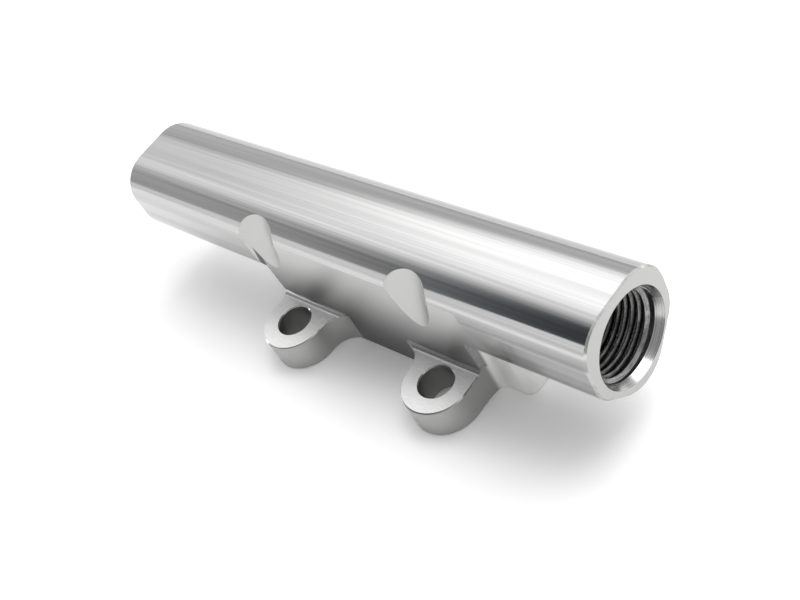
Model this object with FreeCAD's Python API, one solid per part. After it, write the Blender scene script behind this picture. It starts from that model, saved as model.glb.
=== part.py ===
import FreeCAD, Part
import math
import os

# Two-injector fuel rail, milled from one aluminium block. Sizes are in millimetres.
# +X runs along the rail to its front port, +Z is up and the ears point to -Y.
# The origin is midway between the two ear bolt holes, on the mounting face.

# Bar
BAR_SIZE = 25.4
BAR_LENGTH = 140.0
FRONT_END_X = 65.8
BOLTS_TO_BAR_FRONT = 4.7
BAR_LIFT = 10.0
TOP_FRONT_R = 7.8
TOP_REAR_R = 9.6
UNDER_FRONT_CHAMFER = 8.6
UNDER_REAR_CHAMFER = 9.4
UNDER_FLAT = 0.6
END_BREAK = 0.4

# Gallery and end ports, 3/4-16 straight thread with an O-ring seat
GALLERY_R = 7.0
PORT_THREAD_D = 19.05
PORT_THREAD_DEPTH = 17.0
O_RING_SEAT_R = 10.3
O_RING_SEAT_DEPTH = 1.8
DRILL_POINT_HALF_ANGLE = 59.0

# Ears
EAR_SPACING = 45.0
EAR_THICKNESS = 8.0
BOLT_D = 7.94
BOLT_CLEARANCE = 0.13
EAR_WALL = 4.1
EAR_SIDE_STRAIGHT = 0.2
EAR_COVE_R = 1.3
EAR_RIM_BREAK = 0.25

# Front wall over the ears. It starts at a lip on the bar's top front corner and leans back below it.
RECESS_LEAN = 2.0
RECESS_LIP_DROP = 5.1
RECESS_FRONT_X = 35.4
RECESS_CORNER_R = 3.0

# Driver clearance notches
NOTCH_R = 8.0
NOTCH_TILT = 12.0
NOTCH_SIDE_LEAN = 8.0
NOTCH_TIP_DROP = 16.2
NOTCH_SPACING = 46.4
NOTCH_MIDDLE_X = -3.9

# Injector pad
PAD_HALF_LENGTH = 39.5
PAD_HALF_WIDTH = 8.7
PAD_CORNER_R = 2.5
PAD_FILLET_R = 2.5
INJECTOR_X = 30.0
INJECTOR_BORE_R = 6.75
INJECTOR_BORE_DEPTH = 13.0
INJECTOR_LEAD_IN = 0.8
FEED_R = 4.0

# Derived sizes
BAR_HALF = BAR_SIZE / 2
BAR_TOP_Z = BAR_LIFT + BAR_SIZE
AXIS_Y = BOLTS_TO_BAR_FRONT + BAR_HALF
AXIS_Z = BAR_LIFT + BAR_HALF
REAR_END_X = FRONT_END_X - BAR_LENGTH
UNDER_FRONT = BAR_HALF - UNDER_FRONT_CHAMFER
UNDER_REAR = BAR_HALF - UNDER_REAR_CHAMFER

# The same round blends both chamfers into the sides and leaves UNDER_FLAT between them on the bottom
UNDER_REACH = min(UNDER_FRONT + UNDER_REAR, UNDER_FRONT_CHAMFER, UNDER_REAR_CHAMFER) / 2 - UNDER_FLAT / 2
UNDER_BLEND_R = UNDER_REACH / math.tan(math.pi / 8)
PORT_THREAD_R = PORT_THREAD_D / 2
NOTCH_TIP_Z = BAR_TOP_Z - NOTCH_TIP_DROP

# The lip lies on the round of the bar's top front corner
LIP_Z = BAR_TOP_Z - RECESS_LIP_DROP
LIP_REACH = math.sqrt(TOP_FRONT_R ** 2 - (TOP_FRONT_R - RECESS_LIP_DROP) ** 2)
LIP_Y = BOLTS_TO_BAR_FRONT + TOP_FRONT_R - LIP_REACH
LEAN_SLOPE = math.tan(math.radians(RECESS_LEAN))


def wall_y(z):
    """Y of the leaning front wall at height z."""
    return LIP_Y + LEAN_SLOPE * (LIP_Z - z)


# Y of the wall at the top of the ears. Below that the wall stands upright.
WALL_Y = wall_y(EAR_THICKNESS)
EAR_X = EAR_SPACING / 2
EAR_HOLE_R = BOLT_D / 2 + BOLT_CLEARANCE
EAR_R = EAR_HOLE_R + EAR_WALL
EAR_OUTER_X = EAR_X + EAR_R
EAR_INNER_X = EAR_X - EAR_R
EAR_WEB_R = WALL_Y - EAR_SIDE_STRAIGHT
PAD_FRONT_Y = AXIS_Y - PAD_HALF_WIDTH
PAD_BACK_Y = AXIS_Y + PAD_HALF_WIDTH

# Length that a cutter runs past the face it opens
OVERCUT = 1.0

X_DIR = FreeCAD.Vector(1, 0, 0)
Y_DIR = FreeCAD.Vector(0, 1, 0)
Z_DIR = FreeCAD.Vector(0, 0, 1)


def rounded_outline(corners, place):
    """Face inside a closed outline of (u, v, radius) corners. place turns (u, v) into a point."""
    turns = []
    count = len(corners)
    for i in range(count):
        u, v, radius = corners[i]
        before = corners[i - 1]
        after = corners[(i + 1) % count]
        here = FreeCAD.Vector(u, v, 0)
        back = (FreeCAD.Vector(before[0], before[1], 0) - here).normalize()
        ahead = (FreeCAD.Vector(after[0], after[1], 0) - here).normalize()
        if radius == 0:
            turns.append((here, None, here))
            continue
        half = back.getAngle(ahead) / 2
        reach = radius / math.tan(half)
        bisector = (back + ahead).normalize()
        middle = here + bisector * (radius / math.sin(half) - radius)
        turns.append((here + back * reach, middle, here + ahead * reach))
    edges = []
    for i in range(count):
        start, middle, end = turns[i]
        next_start = turns[(i + 1) % count][0]
        if middle is not None:
            arc = Part.Arc(place(start), place(middle), place(end))
            edges.append(arc.toShape())
        if end.distanceToPoint(next_start) > 1e-6:
            edges.append(Part.makeLine(place(end), place(next_start)))
    return Part.Face(Part.Wire(edges))


def in_plan(point):
    return FreeCAD.Vector(point.x, point.y, 0)


def in_section(point):
    return FreeCAD.Vector(REAR_END_X, AXIS_Y + point.x, AXIS_Z + point.y)


def on_front(point):
    return FreeCAD.Vector(point.x, -EAR_R, point.y)


def turned(profile, axis_point, axis_dir):
    """Solid of revolution from a closed list of points."""
    face = Part.Face(Part.makePolygon(profile + profile[:1]))
    return face.revolve(axis_point, axis_dir, 360)


def make_bar():
    section = [
        (-BAR_HALF, BAR_HALF, TOP_FRONT_R),
        (-BAR_HALF, -UNDER_FRONT, UNDER_BLEND_R),
        (-UNDER_FRONT, -BAR_HALF, UNDER_BLEND_R),
        (UNDER_REAR, -BAR_HALF, UNDER_BLEND_R),
        (BAR_HALF, -UNDER_REAR, UNDER_BLEND_R),
        (BAR_HALF, BAR_HALF, TOP_REAR_R),
    ]
    bar = rounded_outline(section, in_section).extrude(X_DIR * BAR_LENGTH)
    rims = []
    for edge in bar.Edges:
        box = edge.BoundBox
        if box.XLength < END_BREAK:
            rims.append(edge)
    return bar.makeChamfer(END_BREAK, rims)


def make_recess():
    """Everything in front of the leaning wall, from the rear ear's side to the recess's front end."""
    low = EAR_THICKNESS - OVERCUT
    outline = [
        (-EAR_OUTER_X, low, 0),
        (RECESS_FRONT_X, low, 0),
        (RECESS_FRONT_X, LIP_Z + OVERCUT, RECESS_CORNER_R + OVERCUT),
        (-EAR_OUTER_X, LIP_Z + OVERCUT, 0),
    ]
    window = rounded_outline(outline, on_front).extrude(Y_DIR * BAR_SIZE)
    return window.common(make_front_space())


def make_front_space():
    """The space in front of the leaning wall, over the whole bar. Above the lip it clears the bar."""
    low = EAR_THICKNESS - OVERCUT
    high = LIP_Z + 2 * OVERCUT
    section = [
        FreeCAD.Vector(REAR_END_X, -EAR_R - OVERCUT, low),
        FreeCAD.Vector(REAR_END_X, wall_y(low), low),
        FreeCAD.Vector(REAR_END_X, wall_y(high), high),
        FreeCAD.Vector(REAR_END_X, -EAR_R - OVERCUT, high),
    ]
    face = Part.Face(Part.makePolygon(section + section[:1]))
    return face.extrude(X_DIR * BAR_LENGTH)


def make_neck():
    """Tower over the ears and the injector pad behind it, up to the middle of the bar."""
    outline = [
        (-PAD_HALF_LENGTH, PAD_BACK_Y, PAD_CORNER_R),
        (-PAD_HALF_LENGTH, PAD_FRONT_Y, PAD_CORNER_R),
        (-EAR_OUTER_X, PAD_FRONT_Y, PAD_FILLET_R),
        (-EAR_OUTER_X, WALL_Y, 0),
        (EAR_OUTER_X, WALL_Y, 0),
        (EAR_OUTER_X, PAD_FRONT_Y, PAD_FILLET_R),
        (PAD_HALF_LENGTH, PAD_FRONT_Y, PAD_CORNER_R),
        (PAD_HALF_LENGTH, PAD_BACK_Y, PAD_CORNER_R),
    ]
    neck = rounded_outline(outline, in_plan).extrude(Z_DIR * AXIS_Z)
    lean_front = [
        FreeCAD.Vector(-EAR_OUTER_X, WALL_Y, EAR_THICKNESS),
        FreeCAD.Vector(-EAR_OUTER_X, PAD_FRONT_Y, EAR_THICKNESS),
        FreeCAD.Vector(-EAR_OUTER_X, PAD_FRONT_Y, AXIS_Z),
        FreeCAD.Vector(-EAR_OUTER_X, wall_y(AXIS_Z), AXIS_Z),
    ]
    wedge = Part.Face(Part.makePolygon(lean_front + lean_front[:1]))
    return neck.fuse(wedge.extrude(X_DIR * 2 * EAR_OUTER_X))


def ear_outline(sign):
    """Plan of one ear with its fillet into the web, closed inside the neck."""
    inside_y = PAD_FRONT_Y
    web_x = EAR_INNER_X - EAR_WEB_R
    return [
        (sign * web_x, inside_y, 0),
        (sign * web_x, WALL_Y, 0),
        (sign * EAR_INNER_X, WALL_Y, EAR_WEB_R),
        (sign * EAR_INNER_X, -EAR_R, EAR_R),
        (sign * EAR_OUTER_X, -EAR_R, EAR_R),
        (sign * EAR_OUTER_X, inside_y, 0),
    ]


def make_ear(sign):
    plate = rounded_outline(ear_outline(sign), in_plan).extrude(Z_DIR * EAR_THICKNESS)
    rims = []
    for edge in plate.Edges:
        box = edge.BoundBox
        in_front = box.YMin < WALL_Y - EAR_COVE_R
        if box.ZLength < EAR_RIM_BREAK and in_front:
            rims.append(edge)
    return plate.makeChamfer(EAR_RIM_BREAK, rims)


def make_cove(sign):
    """Cove between the top of an ear and the front wall, trimmed to the ear's outline."""
    top = EAR_THICKNESS
    base = top - EAR_COVE_R
    bend = EAR_COVE_R * (1 - math.sqrt(0.5))
    corner = FreeCAD.Vector(-EAR_OUTER_X, WALL_Y, top)
    on_ear = corner - Y_DIR * EAR_COVE_R
    on_wall = corner + Z_DIR * EAR_COVE_R
    arc_middle = corner - Y_DIR * bend + Z_DIR * bend
    inside = corner + Y_DIR * EAR_COVE_R
    below = FreeCAD.Vector(-EAR_OUTER_X, inside.y, base)
    ahead = FreeCAD.Vector(-EAR_OUTER_X, on_ear.y, base)
    above = FreeCAD.Vector(-EAR_OUTER_X, inside.y, on_wall.z)
    edges = [
        Part.Arc(on_ear, arc_middle, on_wall).toShape(),
        Part.makeLine(on_wall, above),
        Part.makeLine(above, below),
        Part.makeLine(below, ahead),
        Part.makeLine(ahead, on_ear),
    ]
    strip = Part.Face(Part.Wire(edges)).extrude(X_DIR * 2 * EAR_OUTER_X)
    column = rounded_outline(ear_outline(sign), in_plan).extrude(Z_DIR * (top + EAR_R))
    return strip.common(column)


def make_notch(x):
    """Tilted cutter that just reaches the front wall at the notch's lower tip."""
    back_slope = math.tan(math.radians(NOTCH_TILT))
    side_slope = math.tan(math.radians(NOTCH_SIDE_LEAN))
    along = FreeCAD.Vector(side_slope, back_slope, 1).normalize()
    outward = (along * along.y - Y_DIR).normalize()
    tip = FreeCAD.Vector(x, wall_y(NOTCH_TIP_Z), NOTCH_TIP_Z)
    start = tip + outward * NOTCH_R - along * NOTCH_R
    return Part.makeCylinder(NOTCH_R, BAR_SIZE + NOTCH_R, start, along)


def make_port(face_x, inward):
    """Port cutter from the end face inwards: O-ring seat, thread bore and drill point."""
    slope = math.tan(math.radians(DRILL_POINT_HALF_ANGLE))
    seat_bottom = O_RING_SEAT_DEPTH
    cone_bottom = PORT_THREAD_DEPTH + PORT_THREAD_R / slope
    steps = [
        (-OVERCUT, 0),
        (-OVERCUT, O_RING_SEAT_R),
        (0, O_RING_SEAT_R),
        (seat_bottom, PORT_THREAD_R),
        (PORT_THREAD_DEPTH, PORT_THREAD_R),
        (cone_bottom, 0),
    ]
    points = []
    for depth, radius in steps:
        points.append(FreeCAD.Vector(face_x + inward * depth, AXIS_Y + radius, AXIS_Z))
    return turned(points, FreeCAD.Vector(face_x, AXIS_Y, AXIS_Z), X_DIR)


def make_injector_bore(x):
    """Injector bore with a lead-in, and the feed hole from it up to the gallery."""
    steps = [
        (-OVERCUT, 0),
        (-OVERCUT, INJECTOR_BORE_R + INJECTOR_LEAD_IN),
        (0, INJECTOR_BORE_R + INJECTOR_LEAD_IN),
        (INJECTOR_LEAD_IN, INJECTOR_BORE_R),
        (INJECTOR_BORE_DEPTH, INJECTOR_BORE_R),
        (INJECTOR_BORE_DEPTH, FEED_R),
        (AXIS_Z, FEED_R),
        (AXIS_Z, 0),
    ]
    points = []
    for height, radius in steps:
        points.append(FreeCAD.Vector(x + radius, AXIS_Y, height))
    return turned(points, FreeCAD.Vector(x, AXIS_Y, 0), Z_DIR)


def make_ear_hole(x):
    broken_r = EAR_HOLE_R + EAR_RIM_BREAK
    steps = [
        (-OVERCUT, 0),
        (-OVERCUT, broken_r),
        (0, broken_r),
        (EAR_RIM_BREAK, EAR_HOLE_R),
        (EAR_THICKNESS - EAR_RIM_BREAK, EAR_HOLE_R),
        (EAR_THICKNESS, broken_r),
        (EAR_THICKNESS + OVERCUT, broken_r),
        (EAR_THICKNESS + OVERCUT, 0),
    ]
    points = []
    for height, radius in steps:
        points.append(FreeCAD.Vector(x + radius, 0, height))
    return turned(points, FreeCAD.Vector(x, 0, 0), Z_DIR)


def make_rail():
    blank = make_bar().cut(make_recess())
    for piece in [make_neck(), make_ear(-1), make_ear(1), make_cove(-1), make_cove(1)]:
        blank = blank.fuse(piece)
    gallery_start = FreeCAD.Vector(REAR_END_X, AXIS_Y, AXIS_Z)
    cutters = [
        Part.makeCylinder(GALLERY_R, BAR_LENGTH, gallery_start, X_DIR),
        make_port(FRONT_END_X, -1),
        make_port(REAR_END_X, 1),
    ]
    for sign in (-1, 1):
        cutters.append(make_notch(NOTCH_MIDDLE_X + sign * NOTCH_SPACING / 2))
        cutters.append(make_ear_hole(sign * EAR_X))
        cutters.append(make_injector_bore(sign * INJECTOR_X))
    for cutter in cutters:
        blank = blank.cut(cutter)
    rail = blank.removeSplitter()
    if len(rail.Solids) != 1 or not rail.isValid():
        raise RuntimeError("the rail is not one valid solid")
    return rail.Solids[0]


os.makedirs("parts", exist_ok=True)
rail_body = make_rail()
rail_body.exportStep("parts/rail_body.step")
print("rail_body volume", round(rail_body.Volume, 1), "box", rail_body.BoundBox)
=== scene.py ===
import math
from types import SimpleNamespace

import bmesh
import bpy
from mathutils import Matrix, Vector


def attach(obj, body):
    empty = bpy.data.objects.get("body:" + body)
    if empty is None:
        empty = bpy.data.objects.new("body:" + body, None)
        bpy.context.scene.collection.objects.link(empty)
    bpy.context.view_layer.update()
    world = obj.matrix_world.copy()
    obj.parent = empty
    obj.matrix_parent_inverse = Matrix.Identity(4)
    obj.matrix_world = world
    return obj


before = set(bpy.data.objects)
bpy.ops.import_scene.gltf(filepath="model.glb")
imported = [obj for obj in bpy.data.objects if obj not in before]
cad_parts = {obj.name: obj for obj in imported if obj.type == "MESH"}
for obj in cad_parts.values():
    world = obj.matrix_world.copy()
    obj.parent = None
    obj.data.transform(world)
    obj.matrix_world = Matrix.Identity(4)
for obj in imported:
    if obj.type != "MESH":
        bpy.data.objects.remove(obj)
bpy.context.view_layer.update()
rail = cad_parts["rail_body"]

MM = 0.001

# Sizes that the CAD model gives, in metres
AXIS_Y = 17.4 * MM
AXIS_Z = 22.7 * MM
FRONT_END_X = 65.8 * MM
REAR_END_X = -74.2 * MM
MIDDLE_X = (FRONT_END_X + REAR_END_X) / 2
END_ZONE = (69.2 * MM, 69.5 * MM)
PORT_R = 11.15 * MM
EAR_TOP_ZONE = (8.2 * MM, 8.4 * MM)
EAR_BACK_X = -30.7 * MM
RECESS_FRONT_X = 35.4 * MM
WALL_TOP_Y = 5.0 * MM
WALL_LOW_Y = 6.3 * MM
PAD_HALF_X = 40.5 * MM
PAD_START_Y = (7.0 * MM, 8.0 * MM)
PAD_TOP_Z = (15.6 * MM, 16.0 * MM)
NOTCH_R = 8.0 * MM
NOTCH_SIDE_LEAN = math.radians(8.0)
NOTCH_TILT = math.radians(12.0)
NOTCH_ALONG = Vector((math.tan(NOTCH_SIDE_LEAN), math.tan(NOTCH_TILT), 1.0)).normalized()
NOTCH_OUTWARD = (NOTCH_ALONG * NOTCH_ALONG.y - Vector((0.0, 1.0, 0.0))).normalized()
NOTCH_TIPS = (Vector((-27.1, 5.566, 19.2)) * MM, Vector((19.3, 5.566, 19.2)) * MM)
NOTCH_LOW_Z = (17.0 * MM, 18.0 * MM)
NOTCH_DEEP_Y = (13.0 * MM, 14.0 * MM)
NOTCH_FIT = (0.04 * MM, 0.08 * MM)

# Thread in both ports
THREAD_MAJOR_R = 9.525 * MM
THREAD_PITCH = 1.5875 * MM
THREAD_START = 2.1 * MM
THREAD_LENGTH = 13.6 * MM
THREAD_DEPTH = 0.61 * THREAD_PITCH * 0.8
THREAD_ROOT_HALF = 0.43 * THREAD_PITCH
THREAD_CREST_HALF = 0.06 * THREAD_PITCH
THREAD_BURIED = 0.05 * MM
THREAD_STEPS = 72
THREAD_FADE_STEPS = 0.4 * THREAD_STEPS

# Parts of the normal over which one finish gives way to the next
FACES_END = (0.93, 0.97)
FACES_UP = (0.90, 0.98)
LIES_FLAT = (0.30, 0.60)
FACES_WALL = (-0.998, -0.99)
FACES_STEP = (0.90, 0.97)
PAD_TURNS_BACK = (0.0, 0.4)
NOTCH_TURNS_IN = (-0.72, -0.60)
FACES_FRONT = (-0.7, -0.3)
UPPER_FACES_FRONT = (-0.8, -0.5)
FRONT_TURNS_UP = (0.14, 0.42)
TURNS_REAR = (0.38, 0.62)
TANGENT_FACES_UP = (0.95, 0.99)

# Stretch of the cutters' marks along X, Y and Z, and how far each is moved
FINE_STRETCH = (8.0, 2000.0, 2000.0)
WAVE_STRETCH = (4.0, 520.0, 520.0)
WAVE_SHIFT = (3.1, 0.7, 1.9)
BAND_STRETCH = (3.0, 300.0, 300.0)
BAND_SHIFT = (6.3, 4.1, 8.2)
EAR_STRETCH = (500.0, 4200.0, 500.0)
RING_STRETCH = (5200.0, 1.0, 1.0)
GRAIN_STRETCH = (3600.0, 3600.0, 3600.0)
THREAD_STRETCH = (4200.0, 500.0, 500.0)

# Height of the marks, as a share of the bump
FINE_HEIGHT = 0.32
WAVE_HEIGHT = 0.55
EAR_HEIGHT = 0.30
END_HEIGHT = 0.10
PORT_HEIGHT = 0.20
SATIN_HEIGHT = 0.15
BUMP = 0.02 * MM
THREAD_BUMP = 0.01 * MM
THREAD_BUMP_STRENGTH = 0.2

# Colours of the metal
BRIGHT_BAR = (0.69, 0.69, 0.685, 1.0)
DARK_BAR = (0.30, 0.305, 0.31, 1.0)
TANGENT_LINE = (0.40, 0.40, 0.40, 1.0)
EAR_TOP_BRIGHT = (0.99, 0.99, 0.98, 1.0)
EAR_TOP_DARK = (0.88, 0.88, 0.88, 1.0)
END_FACE = (0.465, 0.465, 0.46, 1.0)
PORT_BRIGHT = (0.62, 0.62, 0.615, 1.0)
PORT_DARK = (0.36, 0.36, 0.36, 1.0)
SATIN = (0.42, 0.42, 0.415, 1.0)
# Painted light on the pad's wall that faces the front, in the near half
PAD_PAINTED_LIGHT = (0.96, 0.96, 0.95, 1.0)
# Recess wall: painted shade, darker towards the bottom
WALL_BRIGHT = (0.63, 0.63, 0.625, 1.0)
WALL_PAINTED_SHADE = (0.15, 0.15, 0.15, 1.0)
NOTCH_COLOUR = (0.49, 0.49, 0.485, 1.0)
# Painted shade on the notch's side that turns inwards
NOTCH_PAINTED_SHADE = (0.16, 0.16, 0.16, 1.0)
THREAD_BRIGHT = (0.37, 0.37, 0.365, 1.0)
THREAD_DARK = (0.18, 0.18, 0.18, 1.0)

# Range of each noise that turns into colour, and how strongly it does on the bar
STREAKS = (0.32, 0.68)
FINE_MARKS = (0.30, 0.70)
TURNED_MARKS = (0.35, 0.65)
THREAD_MARKS = (0.35, 0.70)
STREAK_TONE = 0.30
FINE_TONE = 0.24

# Painted shade and a painted dark reflection on the bar's sides, as a share of its colour, and the
# strength of the tangent line
FRONT_PAINTED_SHADE = 0.74
REAR_PAINTED_SHADE = 0.48
UPPER_PAINTED_SHADE = 0.66
LOWER_PAINTED_REFLECTION = 0.60
TANGENT_TONE = 0.55

# Where the tangent line, the painted shade and the painted reflection lie
TANGENT_Y = (20.4 * MM, 20.7 * MM)
TANGENT_X = (-60.0 * MM, 15.0 * MM)
UPPER_Z = (28.6 * MM, 30.4 * MM)
UPPER_X = (5.0 * MM, 38.0 * MM)
TONE_SOFT = 0.9 * MM
LOWER_X = (42.0 * MM, 50.0 * MM)
LOWER_SOFT = 6.0 * MM
LOWER_Z = (22.5 * MM, 27.0 * MM)
WALL_SHADE_Z = (3.0 * MM, 30.0 * MM)
BESIDE_LENGTH = 16.0 * MM
BESIDE_Z = (27.5 * MM, 30.0 * MM)

# Painted shade in holes and corners
OPEN_REACH = 9.0 * MM
OPENNESS = (0.15, 0.85)
CREVICE_SHADE = 0.74
THREAD_REACH = 14.0 * MM
THREAD_OPENNESS = (0.30, 0.92)
THREAD_CREVICE_SHADE = 0.02
OPEN_SAMPLES = 8

# Gloss
ROUGH_BAR = (0.10, 0.18)
ROUGH_EAR_TOP = 0.36
ROUGH_END_FACE = 0.38
ROUGH_PORT = 0.24
ROUGH_SATIN = 0.42
ROUGH_NOTCH = 0.32
ROUGH_THREAD = (0.20, 0.30)
METAL_EAR_TOP = 0.50
METAL_PAD_FRONT = 0.35
METAL_STEP = 0.40

# Floor: its own grey, and how much it is lifted towards white where it is seen
FLOOR_HALF = 3.0
FLOOR_Z = -0.05 * MM
FLOOR_GREY = 0.90
FLOOR_SEEN_GREY = 1.10
FLOOR_LIFT = 0.03

# Studio round the part. Leans are in degrees from straight up towards the camera's side.
# Far and near are the sides of the room seen in the far and in the near half of the bar.
FAR_TO_NEAR_X = (-0.79, -0.53)
OVERHEAD_FAR = 1.08
OVERHEAD_NEAR = 1.70
OVERHEAD_SKEW = 20.0
OVERHEAD_RISE = (-42.0, -20.0)
OVERHEAD_FALL_START = -13.0
OVERHEAD_FALL = 48.0
OVERHEAD_FALL_POWER = 1.1
ROOM_FAR = 0.46
ROOM_NEAR = 0.045
BACKDROP = 0.60
RIM = 0.86
RIM_LEAN_FAR = 75.0
RIM_LEAN_NEAR = 60.5
RIM_SOFT = 1.0
SIDE_X = (-0.42, -0.22)
SIDE_Y = (-0.4, 0.4)
SIDE_FRONT = 0.42
SIDE_BACK = 0.95
FAR_END_X = (-0.92, -0.88)
FAR_END = 5.50
COOL = (0.84, 0.96, 1.14, 1.0)
COOL_LEVELS = (0.06, 0.25)
KEY_AT = (0.22, 0.62, 1.02)
KEY_AIM = (0.0, 0.0, 0.0)
KEY_SIZE = 1.0
KEY_WATTS = 9.2

# Camera of the photograph
CAMERA_AT = Vector((183.75, -78.8, 202.8)) * MM
CAMERA_RIGHT = Vector((0.7100, 0.5871, -0.3889))
CAMERA_BACK = Vector((0.6482, -0.3292, 0.6866))
LENS_MM = 56.87
SENSOR_MM = 36.0
CLIP = (0.005, 20.0)


class Nodes:
    """Short calls for building a node tree."""

    def __init__(self, tree):
        self.tree = tree

    def add(self, kind, **values):
        node = self.tree.nodes.new(kind)
        for name, value in values.items():
            setattr(node, name, value)
        return node

    def link(self, source, target):
        self.tree.links.new(source, target)

    def put(self, socket, value):
        if hasattr(value, "is_output"):
            self.link(value, socket)
        else:
            socket.default_value = value

    def math(self, operation, a, b=0.0, clamp=False):
        node = self.add("ShaderNodeMath", operation=operation, use_clamp=clamp)
        self.put(node.inputs[0], a)
        self.put(node.inputs[1], b)
        return node.outputs[0]

    def times(self, first, *others):
        """Product of all values."""
        for other in others:
            first = self.math("MULTIPLY", first, other)
        return first

    def most(self, first, *others):
        """Largest of all values."""
        for other in others:
            first = self.math("MAXIMUM", first, other)
        return first

    def ramp(self, value, span, to_low=0.0, to_high=1.0):
        """Smooth step of value over span."""
        node = self.add("ShaderNodeMapRange", interpolation_type="SMOOTHSTEP")
        self.put(node.inputs["Value"], value)
        node.inputs["From Min"].default_value = span[0]
        node.inputs["From Max"].default_value = span[1]
        node.inputs["To Min"].default_value = to_low
        node.inputs["To Max"].default_value = to_high
        return node.outputs["Result"]

    def fade(self, value, span):
        """Smooth step down from 1 to 0 over span."""
        return self.ramp(value, span, 1.0, 0.0)

    def band(self, value, low, high, soft):
        """1 between low and high, fading over soft on both sides."""
        return self.times(self.ramp(value, (low - soft, low)), self.fade(value, (high, high + soft)))

    def mix(self, factor, a, b):
        """Colour a where factor is 0, b where it is 1."""
        node = self.add("ShaderNodeMix", data_type="RGBA")
        self.put(node.inputs["Factor"], factor)
        self.put(node.inputs[6], a)
        self.put(node.inputs[7], b)
        return node.outputs[2]

    def blend(self, factor, a, b):
        """Value a where factor is 0, b where it is 1."""
        node = self.add("ShaderNodeMix", data_type="FLOAT")
        self.put(node.inputs["Factor"], factor)
        self.put(node.inputs[2], a)
        self.put(node.inputs[3], b)
        return node.outputs[0]

    def split(self, vector):
        node = self.add("ShaderNodeSeparateXYZ")
        self.link(vector, node.inputs[0])
        return node.outputs

    def noise(self, vector, stretch, detail=3.0, roughness=0.6, shift=(0.0, 0.0, 0.0)):
        mapping = self.add("ShaderNodeMapping")
        self.link(vector, mapping.inputs["Vector"])
        mapping.inputs["Scale"].default_value = stretch
        mapping.inputs["Location"].default_value = shift
        node = self.add("ShaderNodeTexNoise")
        self.link(mapping.outputs[0], node.inputs["Vector"])
        node.inputs["Scale"].default_value = 1.0
        node.inputs["Detail"].default_value = detail
        node.inputs["Roughness"].default_value = roughness
        return node.outputs[0]

    def openness(self, distance, own_only):
        """1 in the open, towards 0 deep in holes and corners."""
        node = self.add("ShaderNodeAmbientOcclusion", samples=OPEN_SAMPLES, only_local=own_only)
        node.inputs["Distance"].default_value = distance
        return node.outputs["AO"]

    def on_notch(self, place, tip):
        """1 on the wall of the driver notch that ends at tip."""
        off = self.add("ShaderNodeVectorMath", operation="SUBTRACT")
        self.link(place, off.inputs[0])
        off.inputs[1].default_value = tip + NOTCH_OUTWARD * NOTCH_R
        turn = self.add("ShaderNodeVectorMath", operation="CROSS_PRODUCT")
        self.link(off.outputs[0], turn.inputs[0])
        turn.inputs[1].default_value = NOTCH_ALONG
        reach = self.add("ShaderNodeVectorMath", operation="LENGTH")
        self.link(turn.outputs[0], reach.inputs[0])
        gap = self.math("ABSOLUTE", self.math("SUBTRACT", reach.outputs["Value"], NOTCH_R))
        return self.fade(gap, NOTCH_FIT)

    def finish_shader(self, shader, colour, shade, height, bump, strength):
        """Shades the colour, adds the bump and joins the shader to the output."""
        dim = self.add("ShaderNodeVectorMath", operation="SCALE")
        self.link(colour, dim.inputs[0])
        self.link(shade, dim.inputs["Scale"])
        self.link(dim.outputs[0], shader.inputs["Base Color"])
        marks = self.add("ShaderNodeBump")
        marks.inputs["Distance"].default_value = bump
        marks.inputs["Strength"].default_value = strength
        self.link(height, marks.inputs["Height"])
        self.link(marks.outputs[0], shader.inputs["Normal"])
        out = self.add("ShaderNodeOutputMaterial")
        self.link(shader.outputs[0], out.inputs["Surface"])


def new_tree(owner):
    owner.use_nodes = True
    owner.node_tree.nodes.clear()
    return Nodes(owner.node_tree)


def grey(level):
    return (level, level, level, 1.0)


def read_surface(n):
    """Place and normal of the point, its distance from the bar's axis and how open it lies."""
    place = n.add("ShaderNodeTexCoord").outputs["Object"]
    x, y, z = n.split(place)
    nx, ny, nz = n.split(n.add("ShaderNodeNewGeometry").outputs["Normal"])
    off_y = n.math("SUBTRACT", y, AXIS_Y)
    off_z = n.math("SUBTRACT", z, AXIS_Z)
    radius = n.math("SQRT", n.math("ADD", n.times(off_y, off_y), n.times(off_z, off_z)))
    open_air = n.openness(OPEN_REACH, True)
    return SimpleNamespace(
        place=place, x=x, y=y, z=z, nx=nx, ny=ny, nz=nz, radius=radius, open_air=open_air
    )


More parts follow.
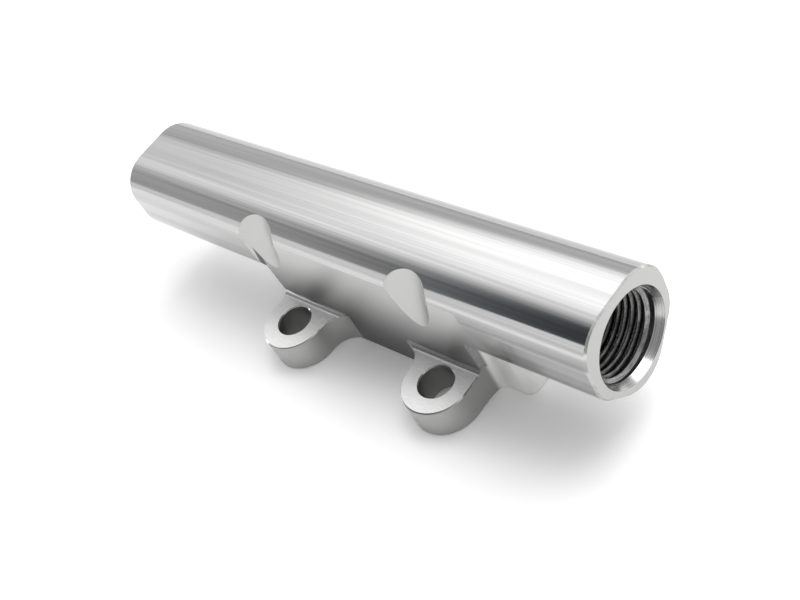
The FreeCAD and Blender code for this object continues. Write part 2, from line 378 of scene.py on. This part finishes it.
def find_finishes(n, at):
    """Where each finish lies, and where light and shade are painted, 1 on it and 0 off it."""
    from_middle = n.math("ABSOLUTE", n.math("SUBTRACT", at.x, MIDDLE_X))
    end_face = n.times(n.ramp(n.math("ABSOLUTE", at.nx), FACES_END), n.ramp(from_middle, END_ZONE))
    port = n.times(n.fade(at.radius, (PORT_R, PORT_R + 0.1 * MM)), n.math("SUBTRACT", 1.0, end_face))

    low = n.fade(at.z, EAR_TOP_ZONE)
    ear_top = n.times(low, n.ramp(at.nz, FACES_UP))
    pad = n.ramp(at.y, PAD_START_Y)
    pad_wall = n.times(pad, n.fade(at.z, PAD_TOP_Z), n.band(at.x, -PAD_HALF_X, PAD_HALF_X, 0.2 * MM))
    side = n.times(n.most(low, pad_wall), n.fade(n.math("ABSOLUTE", at.nz), LIES_FLAT))
    pad_side = n.times(side, pad)
    # Painted light: the pad's front-facing wall in the near half, lighter and kept out of the painted
    # shade
    lit_pad_front = n.times(pad_side, n.fade(at.ny, PAD_TURNS_BACK), n.ramp(at.x, (0.0, 10.0 * MM)))

    wall = n.times(
        n.band(at.y, WALL_TOP_Y, WALL_LOW_Y, 0.05 * MM),
        n.fade(at.ny, FACES_WALL),
        n.band(at.x, EAR_BACK_X, RECESS_FRONT_X, 0.1 * MM),
    )
    step = n.times(n.ramp(at.nx, FACES_STEP), n.band(at.x, EAR_BACK_X, EAR_BACK_X, 0.2 * MM))
    satin = n.most(side, n.most(wall, step))
    notch = n.times(
        n.most(*(n.on_notch(at.place, tip) for tip in NOTCH_TIPS)),
        n.ramp(at.z, NOTCH_LOW_Z),
        n.fade(at.y, NOTCH_DEEP_Y),
    )
    # Bar beside the recess's front end, which gets the wall's painted shade
    beside = n.times(
        n.fade(at.x, (RECESS_FRONT_X, RECESS_FRONT_X + BESIDE_LENGTH)),
        n.ramp(at.x, (EAR_BACK_X, 0.0)),
        n.fade(at.ny, FACES_FRONT),
        n.fade(at.z, BESIDE_Z),
    )
    return SimpleNamespace(
        end_face=end_face, port=port, ear_top=ear_top, pad_side=pad_side, lit_pad_front=lit_pad_front,
        wall=wall, step=step, satin=satin, notch=notch, beside=beside,
    )


def cut_marks(n, at, on):
    """Marks of the cutters: their noises, and the height that they add up to."""
    fine = n.noise(at.place, FINE_STRETCH, 4.0, 0.7)
    waves = n.noise(at.place, WAVE_STRETCH, shift=WAVE_SHIFT)
    bands = n.noise(at.place, BAND_STRETCH, 4.0, 0.7, BAND_SHIFT)
    ear = n.noise(at.place, EAR_STRETCH, 4.0)
    rings = n.add("ShaderNodeCombineXYZ")
    n.link(at.radius, rings.inputs[0])
    turned = n.noise(rings.outputs[0], RING_STRETCH)
    grain = n.noise(at.place, GRAIN_STRETCH)

    height = n.math("ADD", n.times(fine, FINE_HEIGHT), n.times(waves, WAVE_HEIGHT))
    height = n.blend(on.ear_top, height, n.times(ear, EAR_HEIGHT))
    height = n.blend(on.end_face, height, n.times(n.math("ADD", turned, grain), END_HEIGHT))
    height = n.blend(on.port, height, n.times(turned, PORT_HEIGHT))
    height = n.blend(n.most(on.satin, on.notch), height, n.times(grain, SATIN_HEIGHT))
    return SimpleNamespace(fine=fine, bands=bands, ear=ear, turned=turned, height=height)


def metal_colour(n, at, on, marks):
    """Colour of each finish, with streaks along the bar, painted shade on the recess wall, beside it
    and on the notch, and painted light on the pad's front.
    """
    streaks = n.times(n.ramp(marks.bands, STREAKS), STREAK_TONE)
    tone = n.math("ADD", streaks, n.times(n.ramp(marks.fine, FINE_MARKS), FINE_TONE))
    colour = n.mix(tone, BRIGHT_BAR, DARK_BAR)
    tangent = n.times(
        n.band(at.y, *TANGENT_Y, TONE_SOFT),
        n.ramp(at.nz, TANGENT_FACES_UP),
        n.ramp(at.x, TANGENT_X, TANGENT_TONE, 0.0),
    )
    colour = n.mix(tangent, colour, TANGENT_LINE)
    # Painted shade on the recess wall, darker towards the bottom; the bar beside the recess's front
    # end gets it too
    wall_shaded_colour = n.mix(n.ramp(at.z, WALL_SHADE_Z), WALL_PAINTED_SHADE, WALL_BRIGHT)
    colour = n.mix(on.beside, colour, wall_shaded_colour)
    ear_colour = n.mix(n.ramp(marks.ear, FINE_MARKS), EAR_TOP_BRIGHT, EAR_TOP_DARK)
    colour = n.mix(on.ear_top, colour, ear_colour)
    colour = n.mix(on.end_face, colour, END_FACE)
    colour = n.mix(on.port, colour, n.mix(n.ramp(marks.turned, TURNED_MARKS), PORT_BRIGHT, PORT_DARK))
    colour = n.mix(on.satin, colour, n.mix(on.lit_pad_front, SATIN, PAD_PAINTED_LIGHT))
    colour = n.mix(on.wall, colour, wall_shaded_colour)
    # Painted shade on the notch's side that turns inwards
    return n.mix(on.notch, colour, n.mix(n.fade(at.nx, NOTCH_TURNS_IN), NOTCH_COLOUR, NOTCH_PAINTED_SHADE))


def metal_shade(n, at, on):
    """Share of the colour that stays: painted shade in holes and corners and on the bar's sides, and
    a painted dark reflection low on the front.
    """
    # Painted shade in a band high on the bar's front
    upper_shade_band = n.times(
        n.band(at.z, *UPPER_Z, TONE_SOFT),
        n.fade(at.ny, UPPER_FACES_FRONT),
        n.ramp(at.x, UPPER_X),
    )
    # Painted dark reflection low on the front, near the recess's front end
    lower_reflection_patch = n.times(n.band(at.x, *LOWER_X, LOWER_SOFT), n.fade(at.z, LOWER_Z))
    front_painted_shade = n.times(
        n.ramp(at.nz, FRONT_TURNS_UP, FRONT_PAINTED_SHADE, 1.0),
        n.blend(upper_shade_band, 1.0, UPPER_PAINTED_SHADE),
        n.blend(lower_reflection_patch, 1.0, LOWER_PAINTED_REFLECTION),
    )
    # Painted shade on the sides that turn to the rear, also used on the pad's rear wall
    rear_painted_shade = n.ramp(at.ny, TURNS_REAR, 1.0, REAR_PAINTED_SHADE)
    other = n.most(n.most(on.satin, on.notch), n.most(on.end_face, on.port))
    plain_bar = n.math("SUBTRACT", 1.0, other)
    # Painted shade: darker in holes and corners, by how open the point lies
    shade = n.times(
        n.ramp(at.open_air, OPENNESS, CREVICE_SHADE, 1.0),
        n.blend(plain_bar, 1.0, n.math("MINIMUM", front_painted_shade, rear_painted_shade)),
        n.blend(on.pad_side, 1.0, rear_painted_shade),
    )
    return n.blend(n.most(on.ear_top, on.step, on.lit_pad_front), shade, 1.0)


def build_aluminium(material):
    """Machined aluminium: lengthwise marks on the bar, turned ends, milled ears, satin sides."""
    n = new_tree(material)
    at = read_surface(n)
    on = find_finishes(n, at)
    marks = cut_marks(n, at, on)

    shader = n.add("ShaderNodeBsdfPrincipled")
    rough = n.ramp(marks.bands, FINE_MARKS, *ROUGH_BAR)
    rough = n.blend(on.ear_top, rough, ROUGH_EAR_TOP)
    rough = n.blend(on.end_face, rough, ROUGH_END_FACE)
    rough = n.blend(on.port, rough, ROUGH_PORT)
    rough = n.blend(n.most(on.satin, on.beside), rough, ROUGH_SATIN)
    rough = n.blend(on.notch, rough, ROUGH_NOTCH)
    n.link(rough, shader.inputs["Roughness"])
    metal = n.blend(on.ear_top, 1.0, METAL_EAR_TOP)
    metal = n.blend(on.lit_pad_front, metal, METAL_PAD_FRONT)
    metal = n.blend(on.step, metal, METAL_STEP)
    n.link(metal, shader.inputs["Metallic"])
    colour = metal_colour(n, at, on, marks)
    shade = metal_shade(n, at, on)
    n.finish_shader(shader, colour, shade, marks.height, BUMP, 1.0)


def build_thread_metal(material):
    """Cut thread: bright crests, painted shade that darkens the grooves inwards, fine marks along the
    turns.
    """
    n = new_tree(material)
    place = n.add("ShaderNodeTexCoord").outputs["Object"]
    marks = n.noise(place, THREAD_STRETCH)
    shader = n.add("ShaderNodeBsdfPrincipled")
    shader.inputs["Metallic"].default_value = 1.0
    n.link(n.ramp(marks, FINE_MARKS, *ROUGH_THREAD), shader.inputs["Roughness"])
    colour = n.mix(n.ramp(marks, THREAD_MARKS), THREAD_BRIGHT, THREAD_DARK)
    # Painted shade deep in the grooves
    open_air = n.openness(THREAD_REACH, False)
    shade = n.ramp(open_air, THREAD_OPENNESS, THREAD_CREVICE_SHADE, 1.0)
    n.finish_shader(shader, colour, shade, marks, THREAD_BUMP, THREAD_BUMP_STRENGTH)


def link_mesh(name, vertices, faces):
    mesh = bpy.data.meshes.new(name)
    mesh.from_pydata(vertices, [], faces)
    mesh.validate()
    mesh.update()
    thing = bpy.data.objects.new(name, mesh)
    bpy.context.scene.collection.objects.link(thing)
    return thing


def make_thread(name, face_x, inward):
    """Sixty degree internal thread ridge, wound from the seat towards the gallery."""
    count = int(THREAD_LENGTH / THREAD_PITCH * THREAD_STEPS)
    vertices = []
    for i in range(count + 1):
        angle = 2 * math.pi * i / THREAD_STEPS
        middle = THREAD_START + THREAD_PITCH * i / THREAD_STEPS
        rise = min(1.0, min(i, count - i) / THREAD_FADE_STEPS)
        crest_r = THREAD_MAJOR_R - THREAD_DEPTH * rise
        flank = THREAD_CREST_HALF + (THREAD_ROOT_HALF - THREAD_CREST_HALF) * (1 - rise)
        ring = [
            (middle - THREAD_ROOT_HALF, THREAD_MAJOR_R + THREAD_BURIED),
            (middle - THREAD_ROOT_HALF, THREAD_MAJOR_R),
            (middle - flank, crest_r),
            (middle + flank, crest_r),
            (middle + THREAD_ROOT_HALF, THREAD_MAJOR_R),
            (middle + THREAD_ROOT_HALF, THREAD_MAJOR_R + THREAD_BURIED),
        ]
        for along, radius in ring:
            vertices.append((
                face_x + inward * along,
                AXIS_Y + radius * math.cos(angle),
                AXIS_Z + radius * math.sin(angle),
            ))
    per_ring = len(ring)
    faces = []
    for i in range(count):
        for k in range(per_ring):
            a = i * per_ring + k
            b = i * per_ring + (k + 1) % per_ring
            faces.append((a, b, b + per_ring, a + per_ring))
    faces.append(tuple(range(per_ring)))
    faces.append(tuple(count * per_ring + k for k in reversed(range(per_ring))))
    thread = link_mesh(name, vertices, faces)

    # Faces turned outwards
    work = bmesh.new()
    work.from_mesh(thread.data)
    bmesh.ops.recalc_face_normals(work, faces=work.faces)
    work.to_mesh(thread.data)
    work.free()
    return thread


def make_floor():
    """White ground under the part, a little brighter where it is seen than where it lights."""
    s = FLOOR_HALF
    corners = [(-s, -s, FLOOR_Z), (s, -s, FLOOR_Z), (s, s, FLOOR_Z), (-s, s, FLOOR_Z)]
    floor = link_mesh("floor", corners, [(0, 1, 2, 3)])
    material = bpy.data.materials.new("floor_white")
    n = new_tree(material)
    rays = n.add("ShaderNodeLightPath").outputs
    seen = n.most(rays["Is Camera Ray"], rays["Is Glossy Ray"], rays["Is Transmission Ray"])
    matt = n.add("ShaderNodeBsdfDiffuse")
    n.link(n.mix(seen, grey(FLOOR_GREY), grey(FLOOR_SEEN_GREY)), matt.inputs["Color"])
    lift = n.add("ShaderNodeEmission")
    lift.inputs["Color"].default_value = grey(1.0)
    n.link(n.times(seen, FLOOR_LIFT), lift.inputs["Strength"])
    both = n.add("ShaderNodeAddShader")
    n.link(matt.outputs[0], both.inputs[0])
    n.link(lift.outputs[0], both.inputs[1])
    out = n.add("ShaderNodeOutputMaterial")
    n.link(both.outputs[0], out.inputs["Surface"])
    floor.data.materials.append(material)
    return floor


def build_world():
    """Light overhead, a pale backdrop, a dark room in front with a pale rim, pale sides."""
    world = bpy.data.worlds.new("studio")
    bpy.context.scene.world = world
    n = new_tree(world)
    x, y, z = n.split(n.add("ShaderNodeTexCoord").outputs["Generated"])
    lean = n.times(n.math("ARCTAN2", n.times(y, -1.0), z), 180.0 / math.pi)
    near = n.ramp(x, FAR_TO_NEAR_X)
    skewed = n.math("ADD", lean, n.times(near, OVERHEAD_SKEW))
    past_start = n.math("SUBTRACT", skewed, OVERHEAD_FALL_START)
    fall = n.math("DIVIDE", past_start, OVERHEAD_FALL, clamp=True)
    fall = n.math("POWER", n.math("SUBTRACT", 1.0, fall), OVERHEAD_FALL_POWER)
    overhead = n.blend(near, OVERHEAD_FAR, OVERHEAD_NEAR)
    room = n.blend(near, ROOM_FAR, ROOM_NEAR)
    level = n.blend(n.ramp(skewed, OVERHEAD_RISE), BACKDROP, n.blend(fall, room, overhead))
    past_edge = n.math("SUBTRACT", lean, n.blend(near, RIM_LEAN_FAR, RIM_LEAN_NEAR))
    level = n.blend(n.ramp(past_edge, (-RIM_SOFT, RIM_SOFT)), level, RIM)
    level = n.blend(n.ramp(x, SIDE_X), level, n.ramp(y, SIDE_Y, SIDE_FRONT, SIDE_BACK))
    level = n.blend(n.fade(x, FAR_END_X), level, FAR_END)
    back = n.add("ShaderNodeBackground")
    n.link(n.mix(n.ramp(level, COOL_LEVELS), COOL, grey(1.0)), back.inputs["Color"])
    n.link(level, back.inputs["Strength"])
    out = n.add("ShaderNodeOutputWorld")
    n.link(back.outputs[0], out.inputs["Surface"])


def add_key():
    light = bpy.data.lights.new("key", "AREA")
    light.shape = "RECTANGLE"
    light.size = KEY_SIZE
    light.size_y = KEY_SIZE
    light.energy = KEY_WATTS
    lamp = bpy.data.objects.new("key", light)
    bpy.context.scene.collection.objects.link(lamp)
    lamp.location = KEY_AT
    lamp.rotation_euler = (Vector(KEY_AIM) - Vector(KEY_AT)).to_track_quat("-Z", "Y").to_euler()


def add_camera():
    back = CAMERA_BACK.normalized()
    right = (CAMERA_RIGHT - back * CAMERA_RIGHT.dot(back)).normalized()
    up = back.cross(right)
    data = bpy.data.cameras.new("camera")
    data.sensor_width = SENSOR_MM
    data.sensor_fit = "HORIZONTAL"
    data.lens = LENS_MM
    data.clip_start, data.clip_end = CLIP
    camera = bpy.data.objects.new("camera", data)
    bpy.context.scene.collection.objects.link(camera)
    axes = Matrix((right, up, back)).transposed().to_4x4()
    camera.matrix_world = Matrix.Translation(CAMERA_AT) @ axes
    bpy.context.scene.camera = camera


add_camera()
build_aluminium(rail.data.materials[0])
thread_metal = bpy.data.materials.new("thread_metal")
build_thread_metal(thread_metal)
for name, face_x, inward in (("front_thread", FRONT_END_X, -1), ("rear_thread", REAR_END_X, 1)):
    thread = make_thread(name, face_x, inward)
    thread.data.materials.append(thread_metal)
    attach(thread, "root")

build_world()
add_key()
make_floor()
bpy.context.scene.view_settings.view_transform = "Standard"
